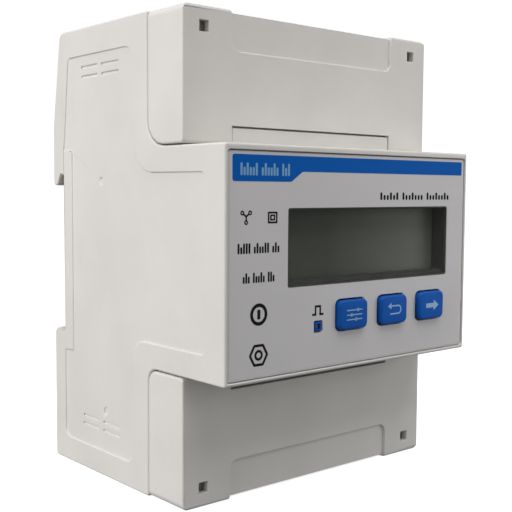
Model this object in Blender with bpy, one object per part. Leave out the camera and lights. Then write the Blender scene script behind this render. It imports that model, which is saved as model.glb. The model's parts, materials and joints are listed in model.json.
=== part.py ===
"""Four-module smart electricity meter for a 35 mm rail, built as separate sub-parts.

Run with: blender --background --python part.py
World axes: +Z up, front towards -Y, +X to the right as seen from the front. The origin is at the
middle of the footprint, on the surface that the meter stands on. Sizes below are in millimetres
and every mesh is made in metres.
"""
import math

import bmesh
import bpy
from mathutils import Matrix, Vector

MM = 0.001

# Envelope
WIDTH = 72.0
HEIGHT = 100.0
REAR_Y = 33.25
NOSE_Y = -32.25
NOSE_LOW = 27.2
NOSE_HIGH = HEIGHT - NOSE_LOW
COVER_Y = -19.0
SEAM_Y = -6.8
SEAM_GAP = 0.2
NOSE_RADIUS = 0.5
HALF = WIDTH / 2
WALL = 2.0
GAP = 0.3

# 35 mm rail channel in the back
RAIL_LEDGE_Z = 31.2
RAIL_WALL_Y = 28.6
RAIL_PAD_Y = 28.9
HOOK_APEX_Z = 67.3
HOOK_APEX_Y = 29.8
HOOK_LIP_Y = 31.3
HOOK_LIP_Z = 64.9
BACK_TAPER_Z = 78.5
BACK_TOP_Y = 29.9
BACK_PLATE_Y = 26.4
CORE_HALF = 24.0
CORE_UPPER_Y = 28.4
CORE_UPPER_Z = (69.6, 96.8)
CORE_LOWER_X = 14.0
CORE_LOWER_Y = 31.2
CORE_LOWER_Z = (3.0, 28.8)
RAIL_PAD_X = 24.0
RAIL_PAD_HALF = 4.0
RAIL_PAD_Z = (38.0, 60.0)

# Side walls: a shallow field as (y, z, radius) corners, short grooves and two dimples
SIDE_FIELD_DEEP = 0.3
SIDE_FIELD = (
    (-1.2, 5.6, 3.0),
    (28.3, 5.6, 2.0),
    (28.3, 26.5, 0.6),
    (24.5, 26.5, 0.6),
    (24.5, 72.8, 0.6),
    (28.3, 72.8, 0.6),
    (26.0, 93.8, 1.2),
    (-1.2, 93.8, 3.0),
    (-1.2, 67.5, 7.0),
    (-26.0, 67.5, 1.2),
    (-26.0, 32.5, 1.2),
    (-1.2, 32.5, 4.0),
)
GROOVE_ZS = (10.2, 12.1, 89.1, 91.2)
GROOVE_YS = (4.7, 13.4)
GROOVE_LONG = 7.0
GROOVE_HALF = 0.28
GROOVE_DEEP = 0.7
DIMPLES = ((11.8, 65.8), (10.4, 14.8))
DIMPLE_R = 0.9
DIMPLE_DEEP = 0.6

# Nose front: face plate, display and keys
PLATE_HALF = 35.2
PLATE_LOW = 28.1
PLATE_HIGH = 71.4
PLATE_GAP = 0.2
PLATE_FRONT_Y = -31.95
PLATE_BACK_Y = -31.05
NOSE_WALL_FRONT_Y = -30.75
NOSE_WALL_BACK_Y = -29.25
WINDOW = (-20.1, 29.2, 45.0, 60.6)
FRAME_WALL = 0.9
FRAME_FLANGE = 1.5
FRAME_Y = (-30.95, -28.95, -28.2)
KEY_XS = (-2.3, 10.35, 23.0)
KEY_NAMES = ("set", "back", "next")
KEY_Z = 38.4
KEY_WIDTH = 8.4
KEY_HEIGHT = 6.2
KEY_RADIUS = 1.2
KEY_FRONT_Y = -33.25
PULSE_X = -11.65
PULSE_Z = 36.6
PULSE_SIDE = 1.9
BEZEL_HOLE = 1.1
BEZEL_END_Y = -29.6
GUIDE_SIDE = 0.9

KEY_COLLAR = 0.8
KEY_COLLAR_Y = (-28.95, -28.15)
KEY_STEM_R = 1.9
KEY_STEM_Y = -28.5

# Display board behind the nose front, and what stands on it
BOARD_THICK = 1.6
DISPLAY_BOARD_Y = -21.6
DISPLAY_BOARD_HALF = 33.0
DISPLAY_BOARD_Z = (30.6, 69.4)
GLASS_Y = (-27.9, -26.6)
GLASS_Z = (43.8, 61.8)
GLASS_MARGIN = 1.0
BACKLIGHT_MARGIN = 0.4
BACKLIGHT_FRONT_Y = -26.3
SWITCH_HALF = 3.0
SWITCH_FRONT_Y = -25.4
PLUNGER_R = 1.75
PLUNGER_OUT = 1.6
PLUNGER_IN = 1.4
WELL_DEEP = 2.6
GUIDE_END_Y = -23.5
LAMP_HALF = 1.5

# Terminals: rising-cage clamps, M3 screws
UPPER_XS = tuple(7.62 * (way - 3.5) for way in range(8))
LOWER_XS = tuple(16.0 * (way - 1.5) for way in range(4))
SCREW_Z = 12.0
SCREW_HEAD_R = 2.4
SCREW_SHANK_R = 1.5
SCREW_HEAD_Y = -15.9
SCREW_HEAD_LONG = 2.4
SCREW_TIP_Y = -6.2
CROSS_SLOT = 0.7
CAGE_WINDOW_Y = (-6.2, -0.9)
CAGE_WALL = 1.2
CAGE_HALF_WIDE = 2.9
CAGE_HALF_TALL = 3.4
CAGE_WINDOW_HALF = 1.9
CAGE_STROKE = 3.0
ENTRY_Y = -2.8
ENTRY_HALF = 2.6
BLOCK_HALF = 32.6
BLOCK_FRONT_Y = -16.6
BLOCK_REAR_Y = 1.5
BLOCK_EDGE_Z = 2.4
BLOCK_FOOT_Y = -6.6
BLOCK_FOOT_Z = 0.3
BLOCK_INNER_Z = 24.7

# Terminal covers
COVER_HALF = HALF
COVER_WALL = 1.6
COVER_INNER_Z = NOSE_LOW - GAP
COVER_RADIUS_LOWER = 2.5
COVER_RADIUS_UPPER = 5.0
TAB_Y = (-18.7, -17.7)
TAB_Z = (23.4, 28.3)
SEAL_X = 30.8
SEAL_Z = 4.0
SEAL_SIDE = 2.3
NOTCH_HALF = 23.7
NOTCH_EDGE_Z = 23.05
PANEL_HALF = 23.9
PANEL_EDGE_Z = 8.2
PANEL_DEEP = 0.6

# Rail latch and its spring
LATCH_HALF = 9.0
LATCH_WING_HALF = 11.0
LATCH_WING_Y = (29.9, 31.1)
LATCH_REAR_Y = 32.9
LATCH_LOW_Z = 0.6
LATCH_TIP_Z = 33.2
LATCH_BODY_Y = 30.25
LATCH_WING_Z = (4.6, 29.7)
LATCH_SLOT_Z = (11.0, 25.0)
LATCH_SLOT_HALF = 1.9
PULL_SLOT_Z = (3.0, 4.6)
PULL_SLOT_HALF = 4.0
LEAD_IN = 2.2
POST_HALF = 1.5
POST_THICK = 1.6
POST_TOP_Z = 13.0
SPRING_R = 1.35
SPRING_WIRE_R = 0.25
SPRING_TURNS = 9

# Rear screws, and the bosses that they turn into
CASE_SCREW_X = 29.0
CASE_SCREW_ZS = (8.0, 92.0)
CASE_HEAD_R = 2.7
CASE_HEAD_Y = (28.7, 30.6)
CASE_SHANK_R = 1.4
CASE_SHANK_Y = 17.0
BOSS_HALF = 3.2
BOSS_Y = 12.0
BORE_Y = 15.0

# Main board, what stands on it, and the ribs that hold both boards by their edges
MAIN_BOARD_Y = 8.0
MAIN_BOARD_HALF = 32.5
MAIN_BOARD_Z = (14.0, 86.0)
HEADER_HALF = 14.0
HEADER_Z = (47.5, 52.5)
CHIP_HALF = 6.0
CHIP_Z = 62.5
CHIP_THICK = 1.6
TRANSFORMER_X = (-22.0, 2.0)
TRANSFORMER_Z = (42.0, 62.0)
TRANSFORMER_REAR_Y = 25.5
WINDING_Y = (14.0, 22.0)
WINDING_IN = 5.0
CAPACITORS = (("left", 12.0), ("right", 24.0))
CAPACITOR_R = 5.0
CAPACITOR_REAR_Y = 25.0
CAPACITOR_Z = 52.0
RIB_THICK = 1.2
RIB_REACH = 2.0


def clear_scene():
    """Remove whatever the scene starts with."""
    for obj in list(bpy.data.objects):
        bpy.data.objects.remove(obj, do_unlink=True)


def material(name, color, roughness, metallic=0.0, transmission=0.0):
    """A Principled material with one colour."""
    mat = bpy.data.materials.new(name)
    mat.use_nodes = True
    shader = mat.node_tree.nodes["Principled BSDF"]
    shader.inputs["Base Color"].default_value = (*color, 1.0)
    shader.inputs["Roughness"].default_value = roughness
    shader.inputs["Metallic"].default_value = metallic
    shader.inputs["Transmission Weight"].default_value = transmission
    return mat


def rounded(corners, step=22.5):
    """An outline of (u, v, radius) corners, with each radius made of chords about step degrees long."""
    points = []
    count = len(corners)
    for index, (u, v, radius) in enumerate(corners):
        if radius <= 0:
            points.append((u, v))
            continue
        before, after = corners[index - 1], corners[(index + 1) % count]
        start = math.atan2(before[1] - v, before[0] - u)
        end = math.atan2(after[1] - v, after[0] - u)
        turn = (end - start + math.pi) % (2 * math.pi) - math.pi
        half = abs(turn) / 2
        reach = radius / math.tan(half)
        middle = start + turn / 2
        centre_u = u + radius / math.sin(half) * math.cos(middle)
        centre_v = v + radius / math.sin(half) * math.sin(middle)
        first = math.atan2(
            v + reach * math.sin(start) - centre_v, u + reach * math.cos(start) - centre_u
        )
        sweep = -math.copysign(math.pi - abs(turn), turn)
        chords = max(2, round(abs(math.degrees(sweep)) / step))
        for chord in range(chords + 1):
            angle = first + sweep * chord / chords
            points.append((centre_u + radius * math.cos(angle), centre_v + radius * math.sin(angle)))
    return points


def rectangle(u_low, u_high, v_low, v_high, radius=0.0):
    """A rectangle's outline, with equal corner radii."""
    corners = [(u_low, v_low), (u_high, v_low), (u_high, v_high), (u_low, v_high)]
    return rounded([(u, v, radius) for u, v in corners])


def circle(u, v, radius, sides=16):
    """A round outline as a regular polygon."""
    turns = [2 * math.pi * (side + 0.5) / sides for side in range(sides)]
    return [(u + radius * math.cos(turn), v + radius * math.sin(turn)) for turn in turns]


def flipped(outline):
    """The same outline turned upside down about the meter's mid-height, v being Z."""
    return [(u, HEIGHT - v) for u, v in outline]


def add_prism(mesh, outline, axis, low, high):
    """Extrude an outline from low to high along axis. Its (u, v) are the other two axes in X, Y, Z order."""
    def place(u, v, w):
        point = {"X": (w, u, v), "Y": (u, w, v), "Z": (u, v, w)}[axis]
        return [MM * value for value in point]

    base = [mesh.verts.new(place(u, v, low)) for u, v in outline]
    face = mesh.faces.new(base)
    grown = bmesh.ops.extrude_face_region(mesh, geom=[face], use_keep_orig=True)
    shift = place(0, 0, high - low)
    tops = [item for item in grown["geom"] if isinstance(item, bmesh.types.BMVert)]
    bmesh.ops.translate(mesh, verts=tops, vec=shift)


def solid(name, prisms, mat=None):
    """One object holding each (outline, axis, low, high) as a closed prism."""
    mesh = bmesh.new()
    for prism in prisms:
        add_prism(mesh, *prism)
    bmesh.ops.recalc_face_normals(mesh, faces=mesh.faces)
    data = bpy.data.meshes.new(name)
    mesh.to_mesh(data)
    mesh.free()
    obj = bpy.data.objects.new(name, data)
    bpy.context.scene.collection.objects.link(obj)
    if mat:
        data.materials.append(mat)
    return obj


def block(x_low, x_high, y_low, y_high, z_low, z_high, radius=0.0):
    """A box as a prism along Y, with its four long edges rounded."""
    return (rectangle(x_low, x_high, z_low, z_high, radius), "Y", y_low, y_high)


def as_helper(obj):
    """Keep a cutter or a joined piece out of the model itself."""
    obj.hide_render = True
    obj.display_type = "WIRE"
    return obj


def boolean(obj, operation, prisms, label):
    """Cut, join or intersect prisms with an object."""
    helper = as_helper(solid(f"{obj.name}_{label}", prisms))
    helper.hide_set(True)
    modifier = obj.modifiers.new(label, "BOOLEAN")
    modifier.operation = operation
    modifier.object = helper
    modifier.solver = "EXACT"


def cut(obj, prisms, label):
    boolean(obj, "DIFFERENCE", prisms, label)


def join(obj, prisms, label):
    boolean(obj, "UNION", prisms, label)


def bevel(obj, width, segments=2):
    """Round the sharp edges of an object."""
    modifier = obj.modifiers.new("edges", "BEVEL")
    modifier.width = width * MM
    modifier.segments = segments
    modifier.limit_method = "ANGLE"
    modifier.angle_limit = math.radians(50)
    modifier.use_clamp_overlap = True


def set_origin(obj, x, y, z):
    """Put an object's origin on its joint's axis, and leave its shape where it is."""
    place = Vector((x, y, z)) * MM
    obj.data.transform(Matrix.Translation(-place))
    obj.location = place


def smooth(obj, degrees=30):
    """Shade round faces smooth and keep real edges sharp."""
    obj.data.shade_smooth()
    obj.data.set_sharp_from_angle(angle=math.radians(degrees))


def back_outline():
    """The back's profile from the bottom corner up to the top corner, as (y, z, radius)."""
    return [
        (REAR_Y, 0.0, 1.0),
        (REAR_Y, RAIL_LEDGE_Z, 1.5),
        (RAIL_WALL_Y, RAIL_LEDGE_Z, 0.0),
        (RAIL_WALL_Y, HOOK_APEX_Z, 0.0),
        (HOOK_APEX_Y, HOOK_APEX_Z, 0.0),
        (HOOK_LIP_Y, HOOK_LIP_Z, 0.0),
        (REAR_Y, HOOK_LIP_Z, 0.9),
        (REAR_Y, BACK_TAPER_Z, 0.0),
        (BACK_TOP_Y, HEIGHT, 2.0),
    ]


def housing_outline():
    """The side view of the housing without its covers, as (y, z)."""
    front = SEAM_Y + SEAM_GAP / 2
    return rounded(
        [
            (NOSE_Y, NOSE_LOW, NOSE_RADIUS),
            (front, NOSE_LOW, 2.8),
            (front, 0.0, NOSE_RADIUS),
            *back_outline(),
            (front, HEIGHT, NOSE_RADIUS),
            (front, NOSE_HIGH, 5.3),
            (NOSE_Y, NOSE_HIGH, NOSE_RADIUS),
        ]
    )


def mirrored_sides(outline, depth):
    """The same outline sunk to a depth into both side faces."""
    return [
        (outline, "X", -HALF - 1, -HALF + depth),
        (outline, "X", HALF - depth, HALF + 1),
    ]


def both_ends(x_low, x_high, y_low, y_high, z_low, z_high):
    """A box near the bottom, and the same box near the top."""
    return [
        block(x_low, x_high, y_low, y_high, z_low, z_high),
        block(x_low, x_high, y_low, y_high, HEIGHT - z_high, HEIGHT - z_low),
    ]


def cut_side_details(housing):
    """Shallow side fields, the four short grooves above and below, and two ejector dimples."""
    cut(housing, mirrored_sides(rounded(SIDE_FIELD), SIDE_FIELD_DEEP), "side_fields")
    grooves = []
    for z in GROOVE_ZS:
        for y in GROOVE_YS:
            outline = rectangle(y, y + GROOVE_LONG, z - GROOVE_HALF, z + GROOVE_HALF)
            grooves += mirrored_sides(outline, GROOVE_DEEP)
    cut(housing, grooves, "grooves")
    dimples = []
    for y, z in DIMPLES:
        dimples += mirrored_sides(circle(y, z, DIMPLE_R, 12), DIMPLE_DEEP)
    cut(housing, dimples, "dimples")


def cut_nose_front(housing):
    """The recess for the face plate, and the openings behind it."""
    recess = block(
        -PLATE_HALF - PLATE_GAP, PLATE_HALF + PLATE_GAP, NOSE_Y - 1, NOSE_WALL_FRONT_Y,
        PLATE_LOW - PLATE_GAP, PLATE_HIGH + PLATE_GAP, 0.9,
    )
    cut(housing, [recess], "face_recess")
    low_y, high_y = NOSE_WALL_FRONT_Y - 0.5, NOSE_WALL_BACK_Y + 0.5
    x_low, x_high, z_low, z_high = WINDOW
    openings = [block(x_low, x_high, low_y, high_y, z_low, z_high, 0.5)]
    for x in KEY_XS:
        openings.append(key_block(x, low_y, high_y, GAP))
    openings.append(pulse_block(PULSE_SIDE + 2 * GAP, low_y, high_y))
    cut(housing, openings, "front_openings")


def wire_entries(z_low, z_high, xs):
    """Square holes that the wires enter by."""
    return [
        block(
            x - ENTRY_HALF, x + ENTRY_HALF, ENTRY_Y - ENTRY_HALF, ENTRY_Y + ENTRY_HALF,
            z_low, z_high,
        )
        for x in xs
    ]


def case_screw_places():
    return [(side * CASE_SCREW_X, z) for z in CASE_SCREW_ZS for side in (-1, 1)]


def add_screw_bosses(housing):
    """A boss in each back corner, joined to the side wall and bored for its screw."""
    bosses, bores = [], []
    for x, z in case_screw_places():
        outer = math.copysign(HALF - WALL + 0.5, x)
        x_low, x_high = sorted((outer, x - math.copysign(BOSS_HALF, x)))
        bosses.append(block(x_low, x_high, BOSS_Y, BACK_PLATE_Y - GAP, z - BOSS_HALF, z + BOSS_HALF))
        bores.append((circle(x, z, CASE_SHANK_R + GAP, 12), "Y", BORE_Y, BACK_PLATE_Y + 1))
    join(housing, bosses, "screw_bosses")
    cut(housing, bores, "screw_bores")


def board_ribs():
    """Upright ribs on the side walls, before and behind the edges of each board."""
    ribs = []
    for front, low, high in ((MAIN_BOARD_Y, *MAIN_BOARD_Z), (DISPLAY_BOARD_Y, *DISPLAY_BOARD_Z)):
        back = front + BOARD_THICK
        for y in (front - GAP - RIB_THICK, back + GAP):
            for side in (-1, 1):
                outer = side * (HALF - WALL + 0.5)
                x_low, x_high = sorted((outer, outer - side * (RIB_REACH + 0.5)))
                ribs.append(block(x_low, x_high, y, y + RIB_THICK, low + 2, high - 2))
    return ribs


def make_housing(plastic):
    """Side walls, nose and shoulders in one moulding, open at the back."""
    housing = solid("main_housing", [(housing_outline(), "X", -HALF, HALF)], plastic)
    bevel(housing, 0.4, 2)
    inside = HALF - WALL
    hollow = [
        (NOSE_WALL_BACK_Y, NOSE_LOW + WALL),
        (SEAM_Y + 1.6, NOSE_LOW + WALL),
        (SEAM_Y + 1.6, WALL),
        (BACK_PLATE_Y - GAP, WALL),
        (BACK_PLATE_Y - GAP, -1.0),
        (REAR_Y + 5, -1.0),
        (REAR_Y + 5, HEIGHT + 1),
        (BACK_PLATE_Y - GAP, HEIGHT + 1),
        (BACK_PLATE_Y - GAP, HEIGHT - WALL),
        (SEAM_Y + 1.6, HEIGHT - WALL),
        (SEAM_Y + 1.6, NOSE_HIGH - WALL),
        (NOSE_WALL_BACK_Y, NOSE_HIGH - WALL),
    ]
    cut(housing, [(hollow, "X", -inside, inside)], "hollow")
    shoulder = BLOCK_HALF + GAP
    front = SEAM_Y - 1
    openings = both_ends(-shoulder, shoulder, front, SEAM_Y + 2, -1, BLOCK_INNER_Z + GAP)
    cut(housing, openings, "shoulder_openings")
    notches = both_ends(-shoulder, shoulder, front, BLOCK_REAR_Y + GAP, -1, WALL + 0.5)
    cut(housing, notches, "block_notches")
    cut_nose_front(housing)
    cut_side_details(housing)
    join(housing, both_ends(-NOTCH_HALF + GAP, NOTCH_HALF - GAP, *TAB_Y, *TAB_Z), "cover_tabs")
    add_screw_bosses(housing)
    join(housing, board_ribs(), "board_ribs")
    smooth(housing)


def make_rear_cover(plastic):
    """The back, with the rail channel, its hook, the latch guide and the screw holes."""
    outline = rounded([(BACK_PLATE_Y, 0.0, 0.0), *back_outline(), (BACK_PLATE_Y, HEIGHT, 0.0)])
    half = HALF - WALL - GAP
    cover = solid("rear_cover", [(outline, "X", -half, half)], plastic)
    front = BACK_PLATE_Y - 1
    cores = [
        block(-CORE_HALF, CORE_HALF, front, CORE_UPPER_Y, *CORE_UPPER_Z),
        block(CORE_LOWER_X, CORE_HALF, front, CORE_LOWER_Y, *CORE_LOWER_Z),
        block(-CORE_HALF, -CORE_LOWER_X, front, CORE_LOWER_Y, *CORE_LOWER_Z),
    ]
    cut(cover, cores, "cores")
    wing = LATCH_WING_HALF + GAP
    body = LATCH_HALF + GAP
    guide = [
        block(-wing, wing, LATCH_WING_Y[0] - GAP, LATCH_WING_Y[1] + GAP, -1, RAIL_LEDGE_Z + 1),
        block(-body, body, LATCH_WING_Y[1], REAR_Y + 1, -1, RAIL_LEDGE_Z + 1),
    ]
    cut(cover, guide[:1], "latch_guide")
    cut(cover, guide[1:], "latch_way")
    post = block(
        -POST_HALF, POST_HALF, LATCH_WING_Y[0] - 1, LATCH_REAR_Y,
        POST_TOP_Z - POST_THICK, POST_TOP_Z,
    )
    join(cover, [post], "spring_post")
    pads = [
        block(x - RAIL_PAD_HALF, x + RAIL_PAD_HALF, RAIL_WALL_Y - 1, RAIL_PAD_Y, *RAIL_PAD_Z)
        for x in (-RAIL_PAD_X, RAIL_PAD_X)
    ]
    join(cover, pads, "rail_pads")
    bores, sinks = [], []
    for x, z in case_screw_places():
        bores.append((circle(x, z, CASE_SHANK_R + 0.4, 12), "Y", front, REAR_Y + 1))
        sinks.append((circle(x, z, CASE_HEAD_R + 0.4, 16), "Y", CASE_HEAD_Y[0] - GAP, REAR_Y + 1))
    cut(cover, bores, "screw_bores")
    cut(cover, sinks, "screw_sinks")
    smooth(cover)


def cover_outline(inner_radius):
    """A terminal cover's side view at the bottom of the meter, as (y, z)."""
    rear = SEAM_Y - SEAM_GAP / 2
    return rounded(
        [
            (COVER_Y, 0.0, 0.7),
            (rear, 0.0, 0.0),
            (rear, COVER_INNER_Z, inner_radius),
            (COVER_Y, COVER_INNER_Z, 0.8),
        ]
    )


def make_cover(name, upper, plastic):
    """A terminal cover: a shell open at its back, with seal holes, a shallow panel and a notch."""
    def placed(outline):
        return flipped(outline) if upper else outline

    side = placed(cover_outline(COVER_RADIUS_UPPER if upper else COVER_RADIUS_LOWER))
    cover = solid(name, [(side, "X", -COVER_HALF, COVER_HALF)], plastic)
    bevel(cover, 0.4, 3)
    face = placed(
        rounded(
            [
                (-COVER_HALF - 1, 30.0, 0.0),
                (-COVER_HALF, COVER_INNER_Z, 0.0),
                (-COVER_HALF, 0.0, 1.6),
                (COVER_HALF, 0.0, 1.6),
                (COVER_HALF, COVER_INNER_Z, 0.0),
                (COVER_HALF + 1, 30.0, 0.0),
            ]
        )
    )
    boolean(cover, "INTERSECT", [(face, "Y", COVER_Y - 2, SEAM_Y + 2)], "corners")
    half = COVER_HALF - COVER_WALL
    hollow = placed(rectangle(-half, half, COVER_WALL, COVER_INNER_Z - COVER_WALL, 0.6))
    cut(cover, [(hollow, "Y", COVER_Y + COVER_WALL, SEAM_Y + 2)], "hollow")
    notch = placed(rectangle(-NOTCH_HALF, NOTCH_HALF, NOTCH_EDGE_Z, COVER_INNER_Z + 2))
    cut(cover, [(notch, "Y", COVER_Y - 1, SEAM_Y + 2)], "notch")
    panel = placed(rectangle(-PANEL_HALF, PANEL_HALF, -5.0, PANEL_EDGE_Z, 2.0))
    cut(cover, [(panel, "Y", COVER_Y - 1, COVER_Y + PANEL_DEEP)], "panel")
    lip = placed(rectangle(-PANEL_HALF, PANEL_HALF, -1.0, PANEL_DEEP))
    cut(cover, [(lip, "Y", COVER_Y - 1, COVER_Y + 8.0)], "panel_wrap")
    seals = []
    for x in (-SEAL_X, SEAL_X):
        reach = SEAL_SIDE / 2
        hole = placed(rectangle(x - reach, x + reach, SEAL_Z - reach, SEAL_Z + reach))
        seals.append((hole, "Y", COVER_Y - 1, COVER_Y + COVER_WALL + 1))
    cut(cover, seals, "seal_holes")
    smooth(cover)
    set_origin(cover, 0, COVER_Y, HEIGHT if upper else 0)


def key_block(x, y_low, y_high, grow=0.0):
    """A key-shaped block, grown all round by a clearance."""
    wide, tall = KEY_WIDTH / 2 + grow, KEY_HEIGHT / 2 + grow
    return block(x - wide, x + wide, y_low, y_high, KEY_Z - tall, KEY_Z + tall, KEY_RADIUS + grow)


def make_face_plate(plastic):
    """The printed front plate, with openings for the window, the keys and the pulse light."""
    shape = block(-PLATE_HALF, PLATE_HALF, PLATE_FRONT_Y, PLATE_BACK_Y, PLATE_LOW, PLATE_HIGH, 0.8)
    plate = solid("face_plate", [shape], plastic)
    low_y, high_y = PLATE_FRONT_Y - 1, PLATE_BACK_Y + 1
    openings = [block(WINDOW[0], WINDOW[1], low_y, high_y, WINDOW[2], WINDOW[3], 0.5)]
    for x in KEY_XS:
        openings.append(key_block(x, low_y, high_y, GAP))
    openings.append(pulse_block(PULSE_SIDE + 2 * GAP, low_y, high_y, 0.5))
    cut(plate, openings, "openings")
    smooth(plate)


def window_block(grow, y_low, y_high):
    """A block of the display window's outline, grown or shrunk all round."""
    x_low, x_high, z_low, z_high = WINDOW
    return block(x_low - grow, x_high + grow, y_low, y_high, z_low - grow, z_high + grow, 0.4)


def make_display_frame(plastic):
    """The dark frame that lines the window's opening and bears on the display glass."""
    front, flange, rear = FRAME_Y
    ring = solid("display_frame", [window_block(FRAME_FLANGE, flange, rear)], plastic)
    join(ring, [window_block(-GAP, front, rear - 0.1)], "neck")
    cut(ring, [window_block(-GAP - FRAME_WALL, front - 1, rear + 1)], "opening")
    smooth(ring)


def make_display(clear, glass, white):
    """The clear window, the display glass behind it and the backlight behind that."""
    x_low, x_high = WINDOW[:2]
    solid("display_window", [window_block(-GAP, PLATE_FRONT_Y + 0.05, PLATE_BACK_Y - 0.2)], clear)
    x_low, x_high = x_low - GLASS_MARGIN, x_high + GLASS_MARGIN
    solid("display_glass", [block(x_low, x_high, *GLASS_Y, *GLASS_Z)], glass)
    inset = BACKLIGHT_MARGIN
    lit = block(
        x_low + inset, x_high - inset, BACKLIGHT_FRONT_Y, DISPLAY_BOARD_Y - GAP,
        GLASS_Z[0] + inset, GLASS_Z[1] - inset,
    )
    solid("backlight", [lit], white)


def make_key(name, x, plastic):
    """A key cap that stands proud, its retaining collar and the stem that meets the plunger."""
    cap = key_block(x, KEY_FRONT_Y, (KEY_COLLAR_Y[0] + KEY_COLLAR_Y[1]) / 2)
    key = solid(f"key_{name}", [cap], plastic)
    bevel(key, 0.45, 2)
    wide, tall = KEY_WIDTH / 2 + KEY_COLLAR, KEY_HEIGHT / 2 + KEY_COLLAR
    collar = block(x - wide, x + wide, *KEY_COLLAR_Y, KEY_Z - tall, KEY_Z + tall, 1.0)
    join(key, [collar], "collar")
    stem_end = SWITCH_FRONT_Y - PLUNGER_OUT - GAP
    stem = (circle(x, KEY_Z, KEY_STEM_R, 12), "Y", KEY_STEM_Y, stem_end)
    join(key, [stem], "stem")
    smooth(key)
    set_origin(key, x, KEY_FRONT_Y, KEY_Z)


def make_switch(name, x, casing, plunger):
    """A tact switch on the display board, and the plunger that moves in its well."""
    side = SWITCH_HALF
    case = block(x - side, x + side, SWITCH_FRONT_Y, DISPLAY_BOARD_Y - GAP, KEY_Z - side, KEY_Z + side, 0.4)
    switch = solid(f"switch_{name}", [case], casing)
    well = circle(x, KEY_Z, PLUNGER_R + GAP, 12)
    cut(switch, [(well, "Y", SWITCH_FRONT_Y - 1, SWITCH_FRONT_Y + WELL_DEEP)], "well")
    smooth(switch)
    rod = circle(x, KEY_Z, PLUNGER_R, 12)
    reach = (SWITCH_FRONT_Y - PLUNGER_OUT, SWITCH_FRONT_Y + PLUNGER_IN)
    button = solid(f"plunger_{name}", [(rod, "Y", *reach)], plunger)
    smooth(button)
    set_origin(button, x, reach[0], KEY_Z)


def pulse_block(side, y_low, y_high, radius=0.0):
    """A square block of a given side, centred on the pulse light."""
    reach = side / 2
    return block(
        PULSE_X - reach, PULSE_X + reach, y_low, y_high, PULSE_Z - reach, PULSE_Z + reach, radius
    )


def make_pulse_light(blue, amber, white):
    """The pulse light's bezel in the face plate, the light guide in it and the lamp behind."""
    front = PLATE_FRONT_Y - 0.1
    bezel = solid("pulse_light_bezel", [pulse_block(PULSE_SIDE, front, BEZEL_END_Y, 0.4)], blue)
    cut(bezel, [pulse_block(BEZEL_HOLE, front - 1, BEZEL_END_Y + 1)], "hole")
    guide = pulse_block(GUIDE_SIDE, PLATE_FRONT_Y, GUIDE_END_Y)
    solid("pulse_light_guide", [guide], amber)
    lamp = pulse_block(2 * LAMP_HALF, GUIDE_END_Y + GAP, DISPLAY_BOARD_Y - GAP)
    solid("pulse_lamp", [lamp], white)


def make_boards(green, black):
    """Both circuit boards, the header between them and the metering chip."""
    display_back = DISPLAY_BOARD_Y + BOARD_THICK
    half = DISPLAY_BOARD_HALF
    front_board = block(-half, half, DISPLAY_BOARD_Y, display_back, *DISPLAY_BOARD_Z, 1.0)
    solid("display_board", [front_board], green)
    half = MAIN_BOARD_HALF
    main_board = block(-half, half, MAIN_BOARD_Y, MAIN_BOARD_Y + BOARD_THICK, *MAIN_BOARD_Z, 1.0)
    solid("main_board", [main_board], green)
    pins = block(-HEADER_HALF, HEADER_HALF, display_back + GAP, MAIN_BOARD_Y - GAP, *HEADER_Z)
    solid("board_header", [pins], black)
    side = CHIP_HALF
    rear = MAIN_BOARD_Y - GAP
    chip = solid(
        "metering_chip",
        [block(-side, side, rear - CHIP_THICK, rear, CHIP_Z - side, CHIP_Z + side)],
        black,
    )
    bevel(chip, 0.2, 1)


def make_power_parts(tape, can):
    """The isolating transformer and two capacitors, on the back of the main board."""
    front = MAIN_BOARD_Y + BOARD_THICK + GAP
    low, high = TRANSFORMER_X
    core = solid("transformer", [block(low, high, front, TRANSFORMER_REAR_Y, *TRANSFORMER_Z)], tape)
    z_low, z_high = TRANSFORMER_Z
    steps = [
        block(low - 1, low + WINDING_IN, *WINDING_Y, z_low - 1, z_high + 1),
        block(high - WINDING_IN, high + 1, *WINDING_Y, z_low - 1, z_high + 1),
    ]
    cut(core, steps, "winding_steps")
    for side, x in CAPACITORS:
        shell = (circle(x, CAPACITOR_Z, CAPACITOR_R, 16), "Y", front, CAPACITOR_REAR_Y)
        smooth(solid(f"capacitor_{side}", [shell], can))


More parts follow.
